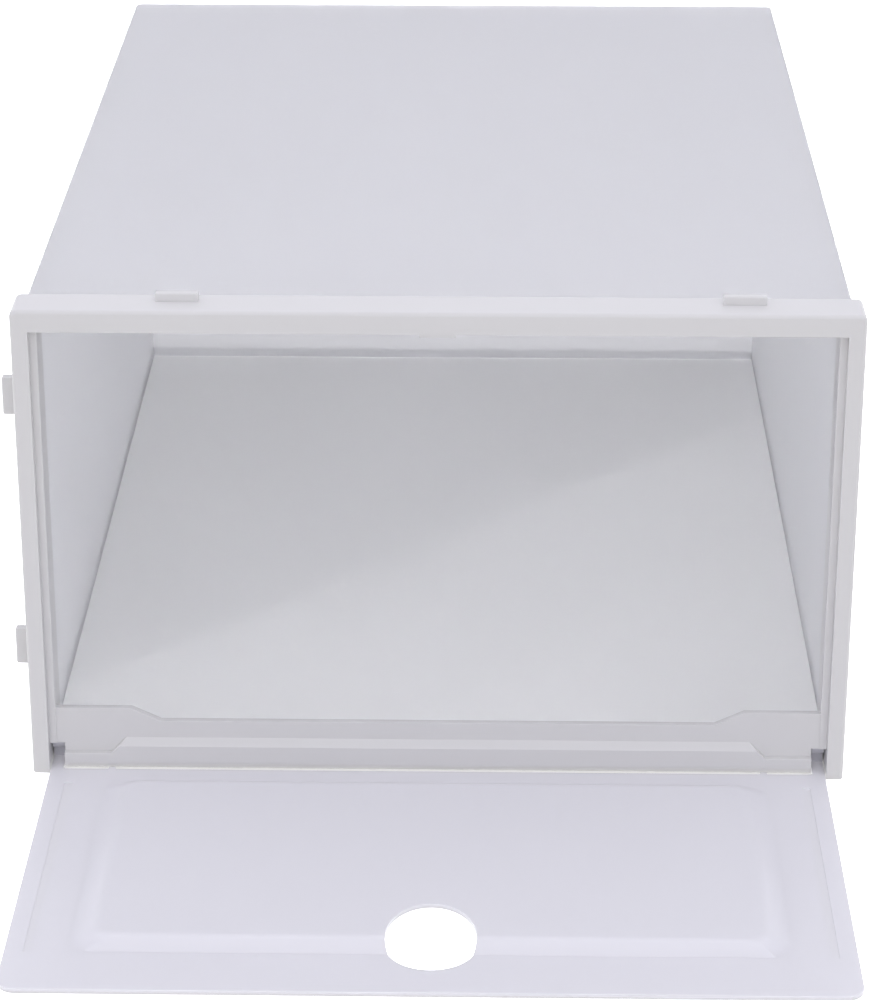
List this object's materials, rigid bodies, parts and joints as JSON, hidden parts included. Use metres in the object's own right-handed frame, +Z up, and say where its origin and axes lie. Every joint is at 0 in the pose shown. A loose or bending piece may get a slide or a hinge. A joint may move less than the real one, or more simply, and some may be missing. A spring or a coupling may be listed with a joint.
{
  "type": "drop-front shoe box",
  "caption": "Flat-pack plastic shoe box with a hinged drop-front door, a finger hole in the door and tabs that lock it to the boxes beside and above.",
  "frame": {"origin": "centre of the box's underside, door left out", "axes": "+X to the right of someone facing the door, +Y from the door to the back, +Z up"},
  "size_m": [0.2392, 0.4515, 0.1456],
  "materials": {
    "frame_plastic": "white polypropylene, satin, slightly translucent",
    "panel_plastic": "frosted white polypropylene sheet, fine moulded texture",
    "door_plastic": "frosted translucent polypropylene, smooth"
  },
  "bodies": {
    "box": {"front_frame": "frame_plastic", "top_panel": "panel_plastic", "bottom_panel": "panel_plastic", "left_panel": "panel_plastic", "right_panel": "panel_plastic", "back_panel": "panel_plastic"},
    "door": {"door": "door_plastic"}
  },
  "joints": [
    {"name": "door_hinge", "type": "hinge", "parent": "box", "child": "door", "pos_m": [0, -0.1574, 0.0074], "axis": [-1, 0, 0], "range_deg": [0, 90]}
  ]
}
